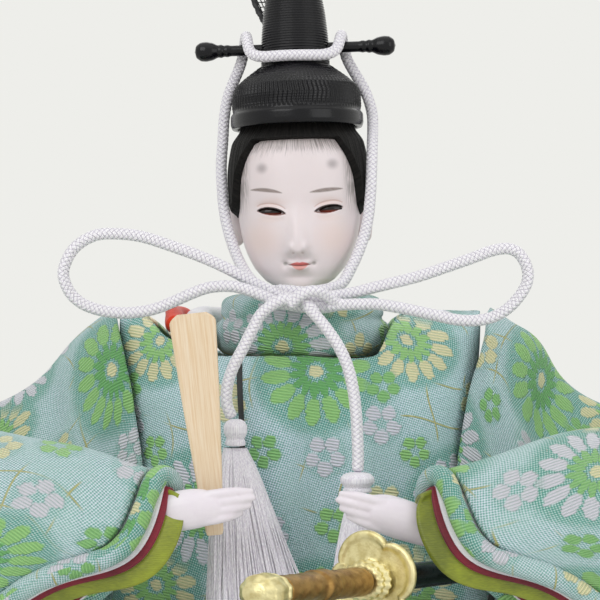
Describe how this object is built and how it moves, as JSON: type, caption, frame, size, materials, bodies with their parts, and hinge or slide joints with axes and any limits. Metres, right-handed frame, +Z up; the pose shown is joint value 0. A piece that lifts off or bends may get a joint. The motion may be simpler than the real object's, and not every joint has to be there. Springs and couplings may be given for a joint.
{
  "type": "hina doll",
  "caption": "Seated emperor doll in a brocade court robe with a lacquer cap, tied cord with tassels, sceptre board and sword.",
  "frame": {"origin": "middle of the base board's underside, on the surface the doll stands on", "axes": "+Z up; the doll faces -Y; +X to the doll's left"},
  "size_m": [0.3038, 0.171, 0.3163],
  "materials": {
    "painted_skin": "satin, painted off-white",
    "dark_glass": "polished dark glass",
    "black_silk": "matte black silk thread",
    "bamboo": "raw bamboo",
    "black_lacquer": "semi-gloss black, finely ribbed",
    "black_net": "stiffened open black net",
    "white_cord": "braided white silk",
    "white_thread": "loose white silk threads",
    "green_brocade": "woven blue-green brocade with flowers",
    "black_cloth": "plain black cloth",
    "white_silk": "plain white silk",
    "red_silk": "plain orange-red silk",
    "lining_white": "plain white silk",
    "lining_crimson": "plain crimson silk",
    "lining_olive": "plain yellow-green silk",
    "iron_wire": "drawn wire",
    "cotton": "cotton wadding",
    "board_wood": "sanded plain board",
    "straw": "pressed rice straw",
    "paper": "wound paper",
    "painted_hand": "smooth painted white",
    "pale_wood": "planed pale wood",
    "gilt_brass": "satin gilt",
    "bronze_grip": "darker satin bronze"
  },
  "bodies": {
    "torso": {"base_board": "board_wood", "straw_body": "straw", "neck_sleeve": "paper", "chest_pad": "cotton", "arm_pad_left": "cotton", "arm_pad_right": "cotton", "arm_wire": "iron_wire", "knee_left": "white_silk", "knee_right": "white_silk", "collar_inner": "white_silk", "collar_white": "white_silk", "robe_front_left": "green_brocade", "robe_front_right": "green_brocade", "robe_back": "green_brocade", "collar": "green_brocade", "sleeve_left": "green_brocade", "sleeve_right": "green_brocade", "sleeve_edge_left": "green_brocade", "sleeve_edge_right": "green_brocade", "belt": "black_cloth", "sword_hanger": "black_cloth", "collar_red": "red_silk", "lining_white_left": "lining_white", "lining_white_right": "lining_white", "lining_crimson_left": "lining_crimson", "lining_crimson_right": "lining_crimson", "lining_olive_left": "lining_olive", "lining_olive_right": "lining_olive", "hand_left": "painted_hand", "hand_right": "painted_hand", "bow_knot": "white_cord", "bow_loop_left": "white_cord", "bow_loop_right": "white_cord", "cord_tail_left": "white_cord", "cord_tail_right": "white_cord", "tassel_head_left": "white_cord", "tassel_head_right": "white_cord", "tassel_skirt_left": "white_thread", "tassel_skirt_right": "white_thread"},
    "head": {"head": "painted_skin", "eye_left": "dark_glass", "eye_right": "dark_glass", "neck_dowel": "bamboo", "hair": "black_silk", "cap_bowl": "black_lacquer", "cap_tower": "black_lacquer", "cap_pin": "black_lacquer", "tail_socket": "black_lacquer", "chin_cord": "white_cord"},
    "tail": {"tail_frame": "black_lacquer", "tail_net": "black_net"},
    "shaku": {"shaku": "pale_wood"},
    "sword": {"sword_pommel": "gilt_brass", "sword_grip": "bronze_grip", "sword_collar": "gilt_brass", "sword_guard": "gilt_brass", "sword_scabbard": "black_lacquer"}
  },
  "joints": [
    {"name": "head_turn", "type": "hinge", "parent": "torso", "child": "head", "pos_m": [0.0007, 0, 0.165], "axis": [-0.0296, 0.0013, 0.9996], "range_deg": [-15, 15], "deforming": ["chin_cord"]},
    {"name": "tail_slide", "type": "slide", "parent": "head", "child": "tail", "axis": [-0.0296, 0.0013, 0.9996], "range_m": [0, 0.01]},
    {"name": "shaku_slide", "type": "slide", "parent": "torso", "child": "shaku", "axis": [-0.1045, 0, 0.9945], "range_m": [0, 0.06]},
    {"name": "sword_slide", "type": "slide", "parent": "torso", "child": "sword", "axis": [-0.5209, -0.8515, 0.0601], "range_m": [0, 0.035]}
  ]
}
